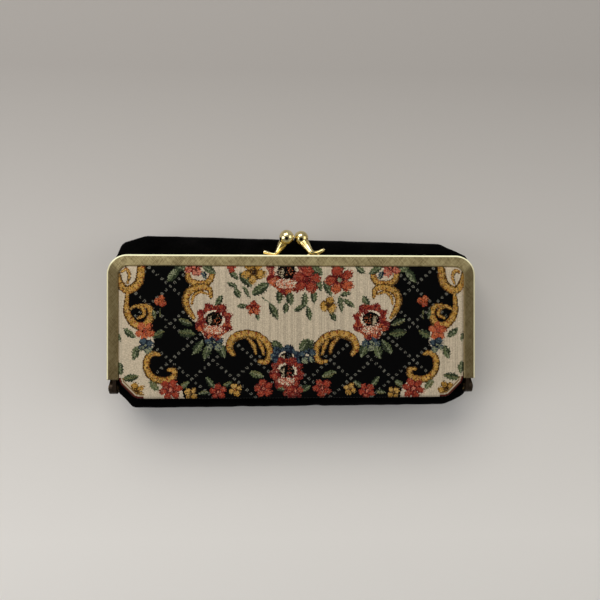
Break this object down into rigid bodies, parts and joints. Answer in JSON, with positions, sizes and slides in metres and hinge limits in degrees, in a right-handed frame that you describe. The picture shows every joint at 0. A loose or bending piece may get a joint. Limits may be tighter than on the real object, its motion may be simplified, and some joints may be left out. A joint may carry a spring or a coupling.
{
  "type": "kiss lock clutch",
  "caption": "Flat clutch with a hinged channel frame, a twin-ball kiss lock, a padded floral tapestry face and a soft velvet body.",
  "frame": {"origin": "middle of the bounding box at the height of the back it lies on", "axes": "+X along the width, +Y towards the ball clasp, +Z out of the tapestry face"},
  "size_m": [0.19, 0.0922, 0.0316],
  "materials": {
    "frame_brass": "brushed, cross-hatched",
    "clasp_brass": "polished",
    "hinge_metal": "dark",
    "black_velvet": "matte pile",
    "lining_cloth": "satin",
    "wadding": "matte",
    "board": "matte",
    "paper_cord": "matte",
    "tapestry": "woven"
  },
  "bodies": {
    "rear_half": {"rear_frame": "frame_brass", "rear_clasp": "clasp_brass", "rear_clasp_pins": "clasp_brass", "rear_velvet_cover": "black_velvet", "rear_wadding": "wadding", "rear_board": "board", "rear_lining": "lining_cloth", "rear_paper_cord": "paper_cord", "left_hinge_rivet": "hinge_metal", "right_hinge_rivet": "hinge_metal", "left_gusset": "lining_cloth", "right_gusset": "lining_cloth", "bottom_gusset": "black_velvet"},
    "front_half": {"front_frame": "frame_brass", "front_clasp": "clasp_brass", "front_clasp_pins": "clasp_brass", "tapestry_cover": "tapestry", "front_wadding": "wadding", "front_board": "board", "front_lining": "lining_cloth", "front_paper_cord": "paper_cord"}
  },
  "joints": [
    {"name": "frame_hinge", "type": "hinge", "parent": "rear_half", "child": "front_half", "pos_m": [0, -0.03528, 0.026], "axis": [1, 0, 0], "range_deg": [0, 60], "deforming": ["left_gusset", "right_gusset", "bottom_gusset"]}
  ]
}
